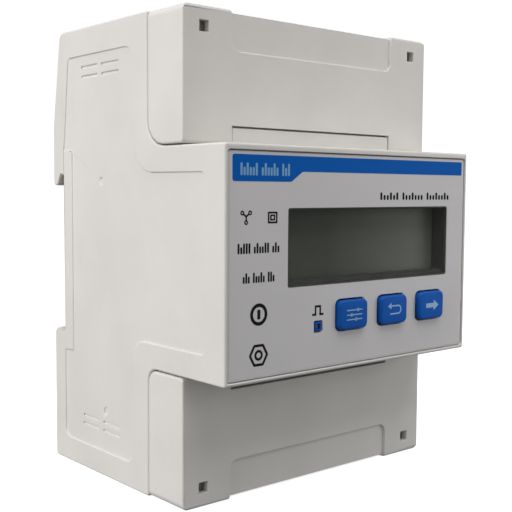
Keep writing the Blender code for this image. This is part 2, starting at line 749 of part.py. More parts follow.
def make_terminal_block(name, xs, upper, plastic):
    """A terminal block: cage channels open at its back, screw wells in front, and a foot that fills
    the housing's notch and holds the wire entries."""
    def placed(prisms):
        return [(flipped(outline), *rest) for outline, *rest in prisms] if upper else prisms

    side = [
        (BLOCK_FRONT_Y, BLOCK_EDGE_Z),
        (BLOCK_FOOT_Y, BLOCK_EDGE_Z),
        (BLOCK_FOOT_Y, BLOCK_FOOT_Z),
        (BLOCK_REAR_Y, BLOCK_FOOT_Z),
        (BLOCK_REAR_Y, BLOCK_INNER_Z),
        (BLOCK_FRONT_Y, BLOCK_INNER_Z),
    ]
    body = solid(name, placed([(side, "X", -BLOCK_HALF, BLOCK_HALF)]), plastic)
    channels, wells, ways = [], [], []
    front = CAGE_WINDOW_Y[0] - CAGE_WALL - CAGE_STROKE - GAP
    seat = SCREW_HEAD_Y + SCREW_HEAD_LONG + GAP
    for x in xs:
        wide, tall = CAGE_HALF_WIDE + GAP, CAGE_HALF_TALL + GAP
        channels.append(block(x - wide, x + wide, front, BLOCK_REAR_Y + 1, SCREW_Z - tall, SCREW_Z + tall))
        wells.append((circle(x, SCREW_Z, SCREW_HEAD_R + 0.35, 12), "Y", BLOCK_FRONT_Y - 1, seat))
        ways.append((circle(x, SCREW_Z, SCREW_SHANK_R + GAP, 8), "Y", seat - 1, front + 0.5))
    cut(body, placed(channels), "cage_channels")
    cut(body, placed(wells), "screw_wells")
    cut(body, placed(ways), "screw_ways")
    entries = wire_entries(-1, SCREW_Z - CAGE_HALF_TALL + 0.5, xs)
    cut(body, placed(entries), "wire_entries")
    smooth(body)


def cut_cross(screw, x, z, y_low, y_high, reach):
    """A cross recess in a screw's head."""
    thin = CROSS_SLOT / 2
    cut(screw, [block(x - reach, x + reach, y_low, y_high, z - thin, z + thin)], "slot")
    cut(screw, [block(x - thin, x + thin, y_low, y_high, z - reach, z + reach)], "cross")


def make_terminal_screw(name, x, z, steel):
    """A cross-recessed M3 screw, its head to the front."""
    head = (circle(x, z, SCREW_HEAD_R, 12), "Y", SCREW_HEAD_Y, SCREW_HEAD_Y + SCREW_HEAD_LONG)
    screw = solid(name, [head], steel)
    shank = (circle(x, z, SCREW_SHANK_R, 8), "Y", SCREW_HEAD_Y + SCREW_HEAD_LONG - 0.4, SCREW_TIP_Y)
    join(screw, [shank], "shank")
    cut_cross(screw, x, z, SCREW_HEAD_Y - 1, SCREW_HEAD_Y + 1.1, 1.7)
    smooth(screw)
    set_origin(screw, x, SCREW_HEAD_Y, z)


def make_cage(name, x, z, brass):
    """A rising clamp cage: a ring round the wire's way, with the screw's hole in its front wall."""
    low_y, high_y = CAGE_WINDOW_Y[0] - CAGE_WALL, CAGE_WINDOW_Y[1] + CAGE_WALL
    wide, tall = CAGE_HALF_WIDE, CAGE_HALF_TALL
    ring = (rectangle(x - wide, x + wide, low_y, high_y), "Z", z - tall, z + tall)
    cage = solid(name, [ring], brass)
    window = rectangle(x - CAGE_WINDOW_HALF, x + CAGE_WINDOW_HALF, *CAGE_WINDOW_Y)
    cut(cage, [(window, "Z", z - tall - 1, z + tall + 1)], "window")
    thread = circle(x, z, SCREW_SHANK_R + 0.25, 8)
    cut(cage, [(thread, "Y", low_y - 1, CAGE_WINDOW_Y[0] + 0.5)], "thread")
    smooth(cage)
    set_origin(cage, x, low_y, z)


def make_terminals(plastic, steel, brass):
    """Both blocks, each with its screws and cages, numbered from the left."""
    rows = (("upper", UPPER_XS, True), ("lower", LOWER_XS, False))
    for row, xs, upper in rows:
        make_terminal_block(f"{row}_terminal_block", xs, upper, plastic)
        z = HEIGHT - SCREW_Z if upper else SCREW_Z
        for number, x in enumerate(xs, 1):
            make_terminal_screw(f"{row}_screw_{number}", x, z, steel)
            make_cage(f"{row}_cage_{number}", x, z, brass)


def make_latch(plastic):
    """The sliding rail latch: wings in the guide, a lip for the rail and a slot for a screwdriver."""
    wing = block(-LATCH_WING_HALF, LATCH_WING_HALF, *LATCH_WING_Y, *LATCH_WING_Z)
    latch = solid("rail_latch", [wing], plastic)
    body = block(-LATCH_HALF, LATCH_HALF, LATCH_BODY_Y, LATCH_REAR_Y, LATCH_LOW_Z, LATCH_TIP_Z)
    join(latch, [body], "body")
    front, rear = LATCH_WING_Y[0] - 1, LATCH_REAR_Y + 1
    slot = block(-LATCH_SLOT_HALF, LATCH_SLOT_HALF, front, rear, *LATCH_SLOT_Z)
    cut(latch, [slot], "spring_slot")
    pull = block(-PULL_SLOT_HALF, PULL_SLOT_HALF, front, rear, *PULL_SLOT_Z)
    cut(latch, [pull], "pull_slot")
    top = LATCH_TIP_Z + 1
    ramp = [(rear, LATCH_TIP_Z - LEAD_IN), (rear, top), (LATCH_WING_Y[1], top)]
    cut(latch, [(ramp, "X", -LATCH_HALF - 1, LATCH_HALF + 1)], "lead_in")
    smooth(latch)
    set_origin(latch, 0, LATCH_WING_Y[1], LATCH_LOW_Z)


def make_latch_spring(steel):
    """A coil spring between the post and the top of the latch's slot, as a bevelled curve."""
    low = POST_TOP_Z + GAP + SPRING_WIRE_R
    high = LATCH_SLOT_Z[1] - GAP - SPRING_WIRE_R
    per_turn = 10
    count = SPRING_TURNS * per_turn + 1
    curve = bpy.data.curves.new("latch_spring", "CURVE")
    curve.dimensions = "3D"
    curve.bevel_depth = SPRING_WIRE_R * MM
    curve.bevel_resolution = 0
    curve.use_fill_caps = True
    spline = curve.splines.new("POLY")
    spline.points.add(count - 1)
    for index, point in enumerate(spline.points):
        turn = 2 * math.pi * index / per_turn
        x = SPRING_R * math.cos(turn)
        y = (LATCH_WING_Y[0] + LATCH_REAR_Y) / 2 + SPRING_R * math.sin(turn)
        z = low + (high - low) * index / (count - 1)
        point.co = (x * MM, y * MM, z * MM, 1.0)
    curve.materials.append(steel)
    obj = bpy.data.objects.new("latch_spring", curve)
    bpy.context.scene.collection.objects.link(obj)


def make_case_screws(steel):
    """Four screws that hold the rear cover to the housing."""
    head_front, head_rear = CASE_HEAD_Y
    for number, (x, z) in enumerate(case_screw_places(), 1):
        head = (circle(x, z, CASE_HEAD_R, 12), "Y", head_front, head_rear)
        screw = solid(f"case_screw_{number}", [head], steel)
        join(screw, [(circle(x, z, CASE_SHANK_R, 8), "Y", CASE_SHANK_Y, head_front + 0.5)], "shank")
        cut_cross(screw, x, z, head_rear - 0.9, head_rear + 1, 1.8)
        smooth(screw)


def main():
    clear_scene()
    warm_white = material("warm_white_plastic", (0.70, 0.685, 0.655), 0.45)
    label = material("label_print", (0.43, 0.42, 0.42), 0.4)
    clear = material("clear_plastic", (0.8, 0.82, 0.8), 0.08, 0.0, 0.9)
    display = material("display_glass", (0.06, 0.065, 0.06), 0.2)
    blue = material("blue_plastic", (0.0, 0.095, 0.42), 0.4)
    amber = material("amber_plastic", (0.45, 0.16, 0.03), 0.3)
    black = material("black_plastic", (0.02, 0.02, 0.02), 0.5)
    white = material("white_plastic", (0.8, 0.8, 0.78), 0.5)
    green = material("circuit_board", (0.02, 0.16, 0.06), 0.45)
    light_grey = material("terminal_plastic", (0.60, 0.59, 0.57), 0.5)
    steel = material("zinc_plated_steel", (0.55, 0.55, 0.53), 0.35, 1.0)
    brass = material("plated_brass", (0.72, 0.55, 0.26), 0.35, 1.0)
    yellow = material("transformer_tape", (0.62, 0.45, 0.05), 0.5)
    make_housing(warm_white)
    make_rear_cover(warm_white)
    make_cover("top_cover", True, warm_white)
    make_cover("bottom_cover", False, warm_white)
    make_face_plate(label)
    make_display_frame(black)
    make_display(clear, display, white)
    for name, x in zip(KEY_NAMES, KEY_XS):
        make_key(name, x, blue)
        make_switch(name, x, black, white)
    make_pulse_light(blue, amber, white)
    make_boards(green, black)
    make_power_parts(yellow, steel)
    make_terminals(light_grey, steel, brass)
    make_latch(warm_white)
    make_latch_spring(steel)
    make_case_screws(steel)


main()
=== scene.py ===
"""Looks of a four-module smart electricity meter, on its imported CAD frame, in a pale studio.

The row frame has +Z up and the front towards -Y. Sizes named here are in millimetres unless they say
otherwise, and every mesh is made in metres. Places come from the CAD nodes' own boxes.
"""

import json
import math

import bmesh
import bpy
from mathutils import Matrix, Vector

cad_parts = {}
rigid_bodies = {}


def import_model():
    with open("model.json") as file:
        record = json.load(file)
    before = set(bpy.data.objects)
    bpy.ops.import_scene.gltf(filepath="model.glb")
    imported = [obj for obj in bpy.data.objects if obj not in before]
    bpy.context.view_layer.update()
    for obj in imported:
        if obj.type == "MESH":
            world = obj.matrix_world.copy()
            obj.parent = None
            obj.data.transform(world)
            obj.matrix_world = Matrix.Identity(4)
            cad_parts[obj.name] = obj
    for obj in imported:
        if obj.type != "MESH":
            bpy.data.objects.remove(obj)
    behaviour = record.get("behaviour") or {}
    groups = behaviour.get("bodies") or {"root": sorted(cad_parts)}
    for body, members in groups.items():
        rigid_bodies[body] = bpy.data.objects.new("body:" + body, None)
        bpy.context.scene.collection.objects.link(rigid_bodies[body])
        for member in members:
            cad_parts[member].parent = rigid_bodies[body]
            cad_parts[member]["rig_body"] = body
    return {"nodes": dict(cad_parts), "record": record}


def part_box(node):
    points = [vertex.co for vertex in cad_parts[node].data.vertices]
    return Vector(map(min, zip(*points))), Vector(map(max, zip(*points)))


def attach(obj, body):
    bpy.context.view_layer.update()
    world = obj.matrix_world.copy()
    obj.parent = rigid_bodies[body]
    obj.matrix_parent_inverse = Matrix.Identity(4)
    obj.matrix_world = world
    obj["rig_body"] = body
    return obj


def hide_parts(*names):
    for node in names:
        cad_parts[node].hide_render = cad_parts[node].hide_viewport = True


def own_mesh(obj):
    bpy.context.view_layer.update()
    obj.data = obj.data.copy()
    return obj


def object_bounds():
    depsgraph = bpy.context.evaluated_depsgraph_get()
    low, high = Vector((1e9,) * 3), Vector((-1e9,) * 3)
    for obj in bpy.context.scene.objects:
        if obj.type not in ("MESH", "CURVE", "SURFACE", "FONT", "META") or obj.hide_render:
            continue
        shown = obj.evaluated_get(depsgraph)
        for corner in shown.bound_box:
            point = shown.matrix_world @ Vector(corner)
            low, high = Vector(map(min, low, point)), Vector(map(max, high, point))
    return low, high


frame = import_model()
cad_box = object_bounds()

MM = 0.001

# Camera, fitted to the photograph's corners: millimetres, degrees and the lens's millimetres
CAMERA_PLACE = Vector((-138.94, -162.08, 64.11)) * MM
CAMERA_YAW = 40.387
CAMERA_PITCH = -4.179
CAMERA_ROLL = 0.342
CAMERA_LENS = 63.63
CAMERA_SENSOR = 36

# The display frame: the CAD flange and neck gap, the step behind the flange, the lip, and the
# borders seen round the glass at its left, right, bottom and top; the wider bottom border is painted shade,
# dark plastic where the recess's shadow falls
FRAME_FLANGE = 1.5
FRAME_NECK = 0.1
FRAME_STEP = 0.75
FRAME_LIP = 0.26
FRAME_BORDERS_AND_PAINTED_SHADE = (0.5, 0.4, 1.15, 0.4)

# The label's film: its edge inside the plate's, its corners, its openings' margin and its place
FILM_INSET = 0.4
FILM_CORNER = 0.7
FILM_MARGIN = 0.32
FILM_PROUD = 0.05
FILM_SUNK = 0.01
FILM_OVER_FRAME = 0.02
PRINT_PROUD = 0.02
PRINT_SUNK = 0.005

# Keys: the collar round the foot and its place behind the key's front, the chamfer on the collar,
# the corner, the soft edge, the draft of the sides, and the crown as (inset, drop) rings
KEY_COLLAR = 0.8
COLLAR_FRONT = 4.3
COLLAR_BACK = 5.1
COLLAR_CHAMFER = 0.15
KEY_CORNER = 1.25
KEY_EDGE = 0.36
KEY_DRAFT = 0.06
KEY_CROWN_DEEP = 0.1
KEY_CROWN = ((0.75, 0.07), (1.2, 0.045), (1.9, 0.02), (2.7, 0.006), (3.05, 0.0))
STEM_R = 1.9

# Screws: the head's height, the shank's radius and the recess's depth, and the thread's pitch
TERMINAL_SCREW = (2.4, 1.5, 1.1)
CASE_SCREW = (1.9, 1.4, 0.9)
THREAD_PITCH = 0.5
THREAD_ROOT = 0.84            # of the shank's radius

# Softened edges of the CAD nodes that are kept
HOUSING_EDGE = 0.16
COVER_EDGE = 0.14
LATCH_EDGE = 0.2
PLATE_EDGE = 0.1
BLOCK_EDGE = 0.18
CAGE_EDGE = 0.1

# Prints on the label
BAND_LEFT = -34.1
BAND_RIGHT = 34.3
BAND_TOP = 70.75
BAND_LOW = 67.7
BAND_TAB_LOW = 65.7
BAND_TAB_RIGHT = -19.35
ROUND_BADGE = (-27.5, 40.4)
SIX_SIDED_BADGE = (-27.5, 32.55)
PHASE_NODE = (-30.75, 59.1)
PHASE_ENDS = ((-31.7, 59.8), (-29.8, 59.8), (-30.75, 58.0))
CLASS_CENTRE = (-24.15, 58.85)
CLASS_SQUARES = ((1.22, 0.84), (0.64, 0.3))
PULSE_XS = (-13.4, -12.45, -11.15, -10.2)
PULSE_ZS = (39.1, 40.75)

# Rows of tally strokes: left, right, bottom, top, the tall and short strokes, and a stroke's width
BAND_TALLY = (-32.2, -19.8, 66.8, 69.2, "IiIiiI iIiiIi IiI", 0.5)
TITLE_TALLY = (6.4, 29.6, 62.1, 63.75, "IiiIiI IiiIiii IiiIiiIi", 0.62)
RATING_TALLIES = (
    (-32.8, -22.4, 52.1, 54.1, "IiIII iIiiII iIi", 0.46),
    (-31.5, -23.6, 46.5, 48.5, "iIi IiiIi IIi", 0.44),
)
SHORT_STROKE = 0.66           # of a tall stroke's height

# Colours, as linear light
WARM_WHITE = (0.74, 0.722, 0.69)
LABEL_GREY = (0.63, 0.62, 0.625)
BAND_BLUE = (0.0, 0.105, 0.46)
KEY_BLUE = (0.0, 0.095, 0.44)
LEGEND_BLUE = (0.33, 0.50, 0.72)
BAND_MARK_BLUE = (0.20, 0.40, 0.62)
INK = (0.012, 0.012, 0.014)
AMBER = (0.23, 0.10, 0.045)
# The display's two tones are painted shade at its left and painted light towards its right, not a tone the
# glass has
DISPLAY_PAINTED_SHADE = (0.100, 0.105, 0.096)
DISPLAY_PAINTED_LIGHT = (0.262, 0.272, 0.255)
DISPLAY_CLOUD = (0.13, 0.145, 0.13)
DISPLAY_PAINTED_SHADE_SHARE = 0.3      # of the display's width, from its left, before it starts to lighten
SKY_BELOW = (0.13, 0.127, 0.125)
SKY_ABOVE = (0.52, 0.52, 0.53)
SKY_STRENGTH = 0.8
FLOOR_GLOW = 0.78

# The floor's radius, its rim's height and the radius of the curve between them, in metres
FLOOR_RADIUS = 2.4
FLOOR_RISE = 1.6
FLOOR_BEND = 0.8


# ---------------------------------------------------------------- node materials

def wire(tree, value, socket):
    """Link a socket, or set a value."""
    if isinstance(value, bpy.types.NodeSocket):
        tree.links.new(value, socket)
    else:
        socket.default_value = value


def add(tree, kind, inputs=None, **settings):
    """A shader node with its settings and inputs."""
    made = tree.nodes.new("ShaderNode" + kind)
    for name, value in settings.items():
        setattr(made, name, value)
    for name, value in (inputs or {}).items():
        wire(tree, value, made.inputs[name])
    return made


def noise(tree, place, size, detail=2.0, stretch=None):
    """Noise with features of about a size, stretched along the axes if asked."""
    if stretch:
        place = add(tree, "Mapping", {"Vector": place, "Scale": stretch}).outputs["Vector"]
    inputs = {"Vector": place, "Scale": 1 / (size * MM), "Detail": detail, "Roughness": 0.55}
    return add(tree, "TexNoise", inputs).outputs["Fac"]


def mix(tree, factor, first, second):
    """A colour mix of two colours or colour sockets."""
    made = tree.nodes.new("ShaderNodeMix")
    made.data_type = "RGBA"
    wire(tree, factor, made.inputs[0])
    for value, index in ((first, 6), (second, 7)):
        if not isinstance(value, bpy.types.NodeSocket):
            value = (*value[:3], 1.0)
        wire(tree, value, made.inputs[index])
    return made.outputs[2]


def remap(tree, value, low, high, source_low=0.3, source_high=0.7):
    """A value turned from a source range to another, and clamped."""
    inputs = {
        "Value": value,
        "From Min": source_low,
        "From Max": source_high,
        "To Min": low,
        "To Max": high,
    }
    return add(tree, "MapRange", inputs).outputs["Result"]


def bump(tree, height, depth, normal=None):
    """A normal from a height, where a height of one stands for depth."""
    inputs = {"Height": height, "Distance": depth * MM, "Strength": 1.0}
    if normal:
        inputs["Normal"] = normal
    return add(tree, "Bump", inputs).outputs["Normal"]


def scaled(color, factor):
    """A colour made darker or lighter, and held at one."""
    return tuple(min(1.0, channel * factor) for channel in color)


def new_material(name):
    """A material's tree, its Principled shader and its object coordinates."""
    mat = bpy.data.materials.new(name)
    mat.use_nodes = True
    tree = mat.node_tree
    place = add(tree, "TexCoord").outputs["Object"]
    return mat, tree, tree.nodes["Principled BSDF"], place


def plastic(name, color, rough, grain=0.3, grain_deep=0.004, drift=0.035, specular=0.45):
    """Moulded plastic: a fine spark texture, slow drift of colour and gloss, and faint sink marks."""
    mat, tree, shader, place = new_material(name)
    slow = noise(tree, place, 16.0, 3.0)
    speck = noise(tree, place, 0.9, 3.0)
    tint = mix(tree, remap(tree, slow, 0, 1), scaled(color, 1 - drift), scaled(color, 1 + drift))
    tint = mix(tree, remap(tree, speck, 0.0, 0.10, 0.55, 0.75), tint, scaled(color, 0.86))
    wire(tree, tint, shader.inputs["Base Color"])
    gloss = noise(tree, place, 5.0, 4.0)
    wire(tree, remap(tree, gloss, rough - 0.05, rough + 0.05), shader.inputs["Roughness"])
    flow = bump(tree, noise(tree, place, 11.0, 1.0), 0.02)
    fine = bump(tree, noise(tree, place, grain, 3.0), grain_deep, flow)
    wire(tree, fine, shader.inputs["Normal"])
    shader.inputs["Specular IOR Level"].default_value = specular
    return mat


def satin_print(name, color, rough=0.4):
    """Screen-printed ink: slightly uneven cover and a finer, smoother surface than the plastic."""
    mat, tree, shader, place = new_material(name)
    cover = noise(tree, place, 0.25, 2.0)
    tint = mix(tree, remap(tree, cover, 0, 1), scaled(color, 0.9), scaled(color, 1.12))
    wire(tree, tint, shader.inputs["Base Color"])
    sheen = remap(tree, noise(tree, place, 2.0), rough - 0.05, rough + 0.05)
    wire(tree, sheen, shader.inputs["Roughness"])
    wire(tree, bump(tree, cover, 0.002), shader.inputs["Normal"])
    shader.inputs["Specular IOR Level"].default_value = 0.1
    return mat


def label_film(name, color):
    """Printed polyester film: even grey, orange-peel gloss and a faint varnish."""
    mat, tree, shader, place = new_material(name)
    slow = noise(tree, place, 22.0, 2.0)
    tint = mix(tree, remap(tree, slow, 0, 1), scaled(color, 0.975), scaled(color, 1.025))
    dots = noise(tree, place, 0.18, 1.0)
    tint = mix(tree, remap(tree, dots, 0.0, 0.08), tint, scaled(color, 0.8))
    wire(tree, tint, shader.inputs["Base Color"])
    wire(tree, remap(tree, noise(tree, place, 3.0), 0.36, 0.46), shader.inputs["Roughness"])
    peel = bump(tree, noise(tree, place, 0.7, 2.0), 0.003)
    wire(tree, peel, shader.inputs["Normal"])
    shader.inputs["Coat Weight"].default_value = 0.12
    shader.inputs["Coat Roughness"].default_value = 0.3
    return mat


def metal(name, color, rough, stretch, wear=0.12):
    """Plated metal with drawn or turned scratches along one direction and dull patches."""
    mat, tree, shader, place = new_material(name)
    shader.inputs["Metallic"].default_value = 1.0
    scratch = noise(tree, place, 0.25, 4.0, stretch)
    patch = noise(tree, place, 1.6, 3.0)
    tint = mix(tree, remap(tree, patch, 0, 1), scaled(color, 1 - wear), color)
    wire(tree, tint, shader.inputs["Base Color"])
    wire(tree, remap(tree, scratch, rough - 0.1, rough + 0.12), shader.inputs["Roughness"])
    wire(tree, bump(tree, scratch, 0.004), shader.inputs["Normal"])
    return mat


def clear_window(name):
    """A thin clear window: it lets light straight through and keeps a weak, slightly smudged gloss."""
    mat, tree, shader, place = new_material(name)
    tree.nodes.remove(shader)
    smudge = noise(tree, place, 7.0, 4.0, (1.0, 1.0, 1.6))
    through = mix(tree, remap(tree, smudge, 0, 1), (0.95, 0.96, 0.94), (0.92, 0.93, 0.91))
    clear = add(tree, "BsdfTransparent", {"Color": through})
    gloss = add(tree, "BsdfGlossy", {"Roughness": remap(tree, smudge, 0.06, 0.14)})
    rear = add(tree, "NewGeometry").outputs["Backfacing"]
    share = add(tree, "Fresnel", {"IOR": 1.38}).outputs["Fac"]
    share = remap(tree, rear, share, 0.0, 0.0, 1.0)
    both = add(tree, "MixShader", {"Fac": share})
    tree.links.new(clear.outputs["BSDF"], both.inputs[1])
    tree.links.new(gloss.outputs["BSDF"], both.inputs[2])
    tree.links.new(both.outputs["Shader"], tree.nodes["Material Output"].inputs["Surface"])
    return mat


def display_face(name):
    """An unlit liquid crystal display: olive grey glass with painted shading, painted darker over its left
    share and painted lighter towards its right, as the light falls across it in its recess.
    """
    mat, tree, shader, place = new_material(name)
    low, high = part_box("display_glass")
    across = add(tree, "SeparateXYZ", {"Vector": place}).outputs["X"]
    # painted light and shade: the colour runs from painted shade at the left to painted light at the right
    share = remap(tree, across, 0.0, 1.0, low.x + DISPLAY_PAINTED_SHADE_SHARE * (high.x - low.x), high.x)
    tint = mix(tree, share, DISPLAY_PAINTED_SHADE, DISPLAY_PAINTED_LIGHT)
    cloud = noise(tree, place, 12.0, 2.0)
    tint = mix(tree, remap(tree, cloud, 0.0, 0.12), tint, DISPLAY_CLOUD)
    wire(tree, tint, shader.inputs["Base Color"])
    wire(tree, remap(tree, cloud, 0.42, 0.5), shader.inputs["Roughness"])
    shader.inputs["Specular IOR Level"].default_value = 0.1
    return mat


def circuit_board(name):
    """Solder mask over copper: darker lanes under a glossy green, with a fibre weave."""
    mat, tree, shader, place = new_material(name)
    upright = add(tree, "Mapping", {"Vector": place, "Rotation": (math.pi / 2, 0, 0)})
    lane_pitch = 6.0
    lanes = add(
        tree, "TexBrick",
        {
            "Vector": upright.outputs["Vector"],
            "Color1": (0.014, 0.12, 0.045, 1), "Color2": (0.02, 0.16, 0.06, 1),
            "Mortar": (0.008, 0.06, 0.024, 1), "Scale": 1 / (lane_pitch * MM), "Mortar Size": 0.03,
        },
    ).outputs["Color"]
    weave = noise(tree, place, 0.4, 1.0)
    tint = mix(tree, remap(tree, weave, 0, 0.3), lanes, (0.03, 0.22, 0.09))
    wire(tree, tint, shader.inputs["Base Color"])
    wire(tree, remap(tree, weave, 0.28, 0.42), shader.inputs["Roughness"])
    wire(tree, bump(tree, weave, 0.01), shader.inputs["Normal"])
    return mat


def make_materials():
    """Every finish by the name of the record's slot that it answers to, and the inks."""
    return {
        "housing_plastic": plastic("housing_plastic", WARM_WHITE, 0.5),
        "latch_plastic": plastic("latch_plastic", scaled(WARM_WHITE, 0.97), 0.46),
        "label_print": label_film("label_print", LABEL_GREY),
        "window_plastic": clear_window("window_plastic"),
        "display_glass": display_face("display_glass"),
        "white_plastic": plastic("white_plastic", (0.78, 0.78, 0.75), 0.42),
        "key_plastic": plastic("key_plastic", KEY_BLUE, 0.45, 0.22, 0.003, 0.06, 0.25),
        "amber_plastic": plastic("amber_plastic", AMBER, 0.28, 0.2, 0.002, 0.2),
        "circuit_board": circuit_board("circuit_board"),
        "frame_plastic": plastic(
            "frame_plastic", (0.078, 0.080, 0.075), 0.55, 0.2, 0.003, 0.08, 0.2
        ),
        "black_plastic": plastic(
            "black_plastic", (0.03, 0.031, 0.029), 0.6, 0.2, 0.004, 0.1, 0.2
        ),
        "transformer_tape": plastic(
            "transformer_tape", (0.62, 0.43, 0.05), 0.35, 0.5, 0.01, 0.1
        ),
        "capacitor_can": metal("capacitor_can", (0.62, 0.62, 0.63), 0.34, (1.0, 0.1, 1.0)),
        "terminal_plastic": plastic("terminal_plastic", (0.60, 0.59, 0.565), 0.52, 0.35, 0.006),
        "zinc_steel": metal("zinc_steel", (0.66, 0.665, 0.66), 0.32, (1.0, 6.0, 1.0)),
        "plated_brass": metal("plated_brass", (0.74, 0.57, 0.29), 0.3, (1.0, 1.0, 0.15)),
        "band_ink": satin_print("band_ink", BAND_BLUE),
        "black_ink": satin_print("black_ink", INK),
        "band_mark_ink": satin_print("band_mark_ink", BAND_MARK_BLUE),
        "legend_ink": satin_print("legend_ink", LEGEND_BLUE),
    }


# ---------------------------------------------------------------- meshes

def new_piece(name, data, mat, body):
    """An object made from a mesh, finished with a material and riding on a body."""
    obj = bpy.data.objects.new(name, data)
    bpy.context.scene.collection.objects.link(obj)
    data.materials.clear()
    data.materials.append(mat)
    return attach(obj, body)


def mesh_from(build, name, smooth_degrees=35):
    """A mesh from a function that fills a bmesh, smooth except at its real edges."""
    work = bmesh.new()
    build(work)
    bmesh.ops.remove_doubles(work, verts=work.verts, dist=1e-7)
    bmesh.ops.recalc_face_normals(work, faces=work.faces)
    data = bpy.data.meshes.new(name)
    work.to_mesh(data)
    work.free()
    data.shade_smooth()
    data.set_sharp_from_angle(angle=math.radians(smooth_degrees))
    return data


def rounded_box(half_wide, half_tall, radius, steps=6):
    """The outline of a rounded rectangle about the origin, as (u, v) points, anticlockwise."""
    radius = max(0.02, min(radius, half_wide - 0.001, half_tall - 0.001))
    corners = (
        (half_wide - radius, half_tall - radius, 0),
        (radius - half_wide, half_tall - radius, 90),
        (radius - half_wide, radius - half_tall, 180),
        (half_wide - radius, radius - half_tall, 270),
    )
    points = []
    for u, v, start in corners:
        for step in range(steps + 1):
            angle = math.radians(start + 90 * step / steps)
            points.append((u + radius * math.cos(angle), v + radius * math.sin(angle)))
    return points


def round_corners(corners, steps=4):
    """An outline of (u, v, radius) corners with each radius turned into short chords."""
    points = []
    for index, (u, v, radius) in enumerate(corners):
        here = Vector((u, v))
        before = (Vector(corners[index - 1][:2]) - here).normalized()
        after = (Vector(corners[(index + 1) % len(corners)][:2]) - here).normalized()
        if radius <= 0:
            points.append((u, v))
            continue
        half = before.angle(after) / 2
        start = here + before * (radius / math.tan(half))
        end = here + after * (radius / math.tan(half))
        for step in range(steps + 1):
            share = step / steps
            curve = start.lerp(here, share).lerp(here.lerp(end, share), share)
            points.append(tuple(curve))
    return points


def moved(points, u, v):
    """An outline shifted in its own plane."""
    return [(a + u, b + v) for a, b in points]


def ring(u, v, radius, sides=28):
    """A round outline."""
    turns = [2 * math.pi * side / sides for side in range(sides)]
    return [(u + radius * math.cos(turn), v + radius * math.sin(turn)) for turn in turns]


def stroke(path, width):
    """A polyline's outline with mitred bends and square ends."""
    line = [Vector(point) for point in path]
    left, right = [], []
    for index, here in enumerate(line):
        back = (here - line[index - 1]).normalized() if index else None
        ahead = (line[index + 1] - here).normalized() if index + 1 < len(line) else None
        heading = ((back or ahead) + (ahead or back)).normalized()
        side = Vector((-heading.y, heading.x))
        reach = width / 2 / max(0.3, abs(heading.dot(ahead or back)))
        left.append(tuple(here + side * reach))
        right.append(tuple(here - side * reach))
    return left + right[::-1]


def flat_mesh(name, shapes, y_front, y_back):
    """A thin plate in the XZ plane. Each shape is a list of outlines, of which the inner ones are holes."""
    work = bmesh.new()
    for outlines in shapes:
        curve = bpy.data.curves.new(name, "CURVE")
        curve.dimensions = "2D"
        curve.fill_mode = "BOTH"
        curve.extrude = (y_back - y_front) / 2 * MM
        for outline in outlines:
            spline = curve.splines.new("POLY")
            spline.points.add(len(outline) - 1)
            spline.use_cyclic_u = True
            for point, (u, v) in zip(spline.points, outline):
                point.co = (u * MM, v * MM, 0.0, 1.0)
        holder = bpy.data.objects.new(name, curve)
        plate = bpy.data.meshes.new_from_object(holder)
        work.from_mesh(plate)
        bpy.data.objects.remove(holder)
        bpy.data.meshes.remove(plate)
        bpy.data.curves.remove(curve)
    turn = Matrix.Rotation(math.pi / 2, 4, "X")
    shift = Matrix.Translation((0, (y_front + y_back) / 2 * MM, 0))
    bmesh.ops.transform(work, matrix=shift @ turn, verts=work.verts)
    bmesh.ops.remove_doubles(work, verts=work.verts, dist=1e-7)
    data = bpy.data.meshes.new(name)
    work.to_mesh(data)
    work.free()
    data.set_sharp_from_angle(angle=math.radians(30))
    return data


def loft(work, outlines, cap_first=True, cap_last=True):
    """Skin a run of (outline in X and Z, y) sections that all have the same number of points."""
    rows = []
    for outline, y in outlines:
        rows.append([work.verts.new((u * MM, y * MM, v * MM)) for u, v in outline])
    for lower, upper in zip(rows, rows[1:]):
        for index in range(len(lower)):
            after = (index + 1) % len(lower)
            work.faces.new((lower[index], lower[after], upper[after], upper[index]))
    if cap_first:
        work.faces.new(rows[0])
    if cap_last:
        work.faces.new(rows[-1][::-1])


def turned(work, profile, x, z, sides=40):
    """A turned shape about a line along Y, from (radius, y) points, closed where the radius is zero."""
    rows = []
    for radius, y in profile:
        if radius == 0:
            rows.append([work.verts.new((x * MM, y * MM, z * MM))])
            continue
        rows.append(
            [work.verts.new((u * MM, y * MM, v * MM)) for u, v in ring(x, z, radius, sides)]
        )
    for lower, upper in zip(rows, rows[1:]):
        for index in range(sides):
            after = (index + 1) % sides
            corners = [lower[index % len(lower)], lower[after % len(lower)]]
            corners += [upper[after % len(upper)], upper[index % len(upper)]]
            unique = list(dict.fromkeys(corners))
            work.faces.new(unique)


# ---------------------------------------------------------------- carried-over CAD nodes

